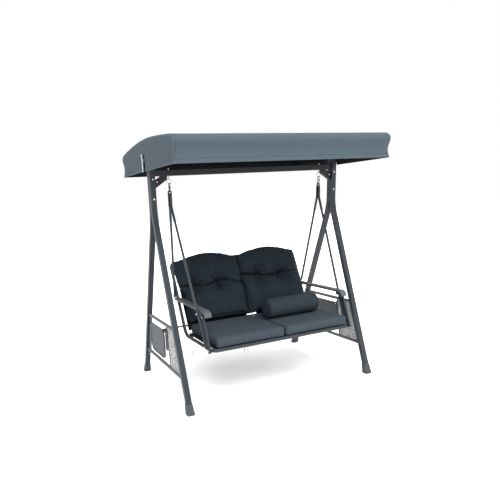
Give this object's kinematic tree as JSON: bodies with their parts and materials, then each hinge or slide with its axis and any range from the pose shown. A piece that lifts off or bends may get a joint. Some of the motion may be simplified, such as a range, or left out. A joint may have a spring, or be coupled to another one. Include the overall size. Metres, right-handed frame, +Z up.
{
  "type": "canopy swing bench",
  "caption": "Garden swing bench on an A-frame with a tilting arched canopy, V hangers, tufted back cushions, a bolster and folding side trays.",
  "frame": {"origin": "on the ground, midway between the four feet and under the canopy's middle", "axes": "+X to the right seen from the front, +Y to the back, +Z up"},
  "size_m": [1.654, 1.133, 1.8578],
  "materials": {
    "frame_paint": "powder coat, charcoal, satin",
    "light_paint": "powder coat, mid grey, satin",
    "foot_plastic": "moulded, charcoal",
    "bay_mesh": "speckled light grey mesh",
    "zinc": "zinc plated",
    "link_steel": "blackened steel",
    "canopy_fabric": "woven polyester, slate grey",
    "sling_fabric": "coated mesh, near black",
    "cushion_fabric": "woven polyester, blue black",
    "seat_fabric": "woven polyester, dark slate",
    "armrest_resin": "textured grey",
    "knob_plastic": "black",
    "tray_resin": "hammered grey",
    "tie_cord": "braided cord"
  },
  "bodies": {
    "frame": {"left_front_leg": "frame_paint", "left_rear_leg": "frame_paint", "right_front_leg": "frame_paint", "right_rear_leg": "frame_paint", "foot_caps": "foot_plastic", "left_upper_cross_tube": "light_paint", "left_lower_cross_tube": "light_paint", "right_upper_cross_tube": "light_paint", "right_lower_cross_tube": "light_paint", "rear_strips": "light_paint", "front_rods": "frame_paint", "bay_panels": "bay_mesh", "tube_gussets": "light_paint", "rear_stretcher": "frame_paint", "top_beam": "frame_paint", "beam_braces": "frame_paint", "post_plates": "frame_paint", "post_bolts": "zinc", "eye_bolts": "link_steel", "pivot_studs": "zinc", "tray_pins": "zinc", "tray_brackets": "frame_paint"},
    "canopy": {"canopy_cover": "canopy_fabric", "canopy_left_end_bar": "frame_paint", "canopy_right_end_bar": "frame_paint", "canopy_front_bar": "frame_paint", "canopy_rear_bar": "frame_paint", "canopy_ridge_bar": "frame_paint", "pivot_brackets": "frame_paint"},
    "swing": {"quick_links": "link_steel", "apex_plates": "frame_paint", "left_front_hanger": "frame_paint", "left_rear_hanger": "frame_paint", "right_front_hanger": "frame_paint", "right_rear_hanger": "frame_paint", "left_bench_tube": "frame_paint", "right_bench_tube": "frame_paint", "seat_front_tube": "frame_paint", "back_top_tube": "frame_paint", "seat_rear_tube": "frame_paint", "seat_sling": "sling_fabric", "back_sling": "sling_fabric", "left_armrest": "armrest_resin", "right_armrest": "armrest_resin", "left_arm_support": "frame_paint", "right_arm_support": "frame_paint", "bench_bolts": "zinc", "left_seat_cushion": "seat_fabric", "right_seat_cushion": "seat_fabric", "left_back_cushion": "cushion_fabric", "right_back_cushion": "cushion_fabric", "bolster": "cushion_fabric", "long_tie": "tie_cord", "outer_tie": "tie_cord", "inner_tie": "tie_cord"},
    "left_knob": {"left_knob": "knob_plastic"},
    "right_knob": {"right_knob": "knob_plastic"},
    "left_tray": {"left_tray": "tray_resin"},
    "right_tray": {"right_tray": "tray_resin"}
  },
  "joints": [
    {"name": "swing_pivot", "type": "hinge", "parent": "frame", "child": "swing", "pos_m": [0, 0, 1.5535], "axis": [1, 0, 0], "range_deg": [-15, 15]},
    {"name": "canopy_tilt", "type": "hinge", "parent": "frame", "child": "canopy", "pos_m": [0, 0, 1.72], "axis": [1, 0, 0], "range_deg": [-25, 25]},
    {"name": "left_knob_turn", "type": "hinge", "parent": "canopy", "child": "left_knob", "pos_m": [-0.81, 0, 1.72], "axis": [-1, 0, 0], "range_deg": [0, 360]},
    {"name": "right_knob_turn", "type": "hinge", "parent": "canopy", "child": "right_knob", "pos_m": [0.81, 0, 1.72], "axis": [1, 0, 0], "range_deg": [0, 360]},
    {"name": "left_tray_fold", "type": "hinge", "parent": "frame", "child": "left_tray", "pos_m": [-0.794, 0.07, 0.505], "axis": [0, 1, 0], "range_deg": [0, 90]},
    {"name": "right_tray_fold", "type": "hinge", "parent": "frame", "child": "right_tray", "pos_m": [0.794, 0.07, 0.505], "axis": [0, -1, 0], "range_deg": [0, 90]}
  ]
}
